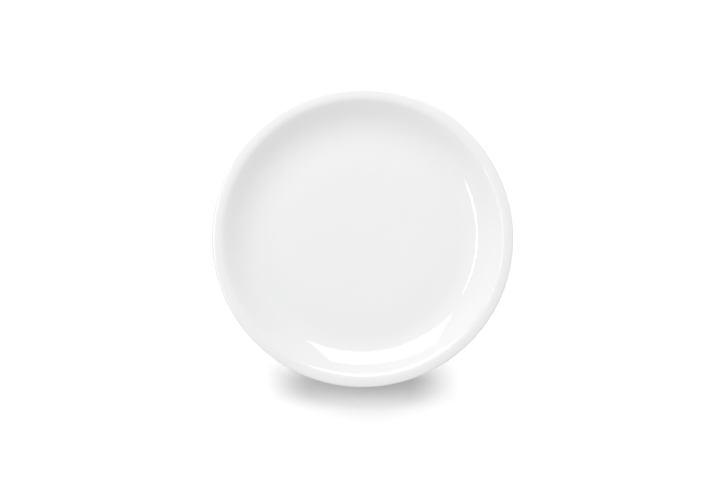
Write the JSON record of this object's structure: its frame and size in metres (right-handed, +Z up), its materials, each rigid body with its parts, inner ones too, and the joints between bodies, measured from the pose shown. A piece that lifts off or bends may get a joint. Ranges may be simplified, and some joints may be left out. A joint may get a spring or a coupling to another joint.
{
  "type": "flat plate",
  "caption": "Round flat porcelain plate with a broad flat well, a hollow bend into a sloping wall that turns over into a narrow rounded rim, and a foot ring with a bare standing face.",
  "frame": {"origin": "centre of the circle that the foot ring stands on, in the plane of the table", "axes": "+Z up along the plate's axis of revolution; the plate is round, so X and Y may lie in any direction across it"},
  "size_m": [0.26, 0.26, 0.0218],
  "materials": {
    "glaze": "polished",
    "biscuit": "matte"
  },
  "bodies": {
    "root": {"porcelain_body": "biscuit", "face_glaze": "glaze", "base_glaze": "glaze"}
  },
  "joints": []
}
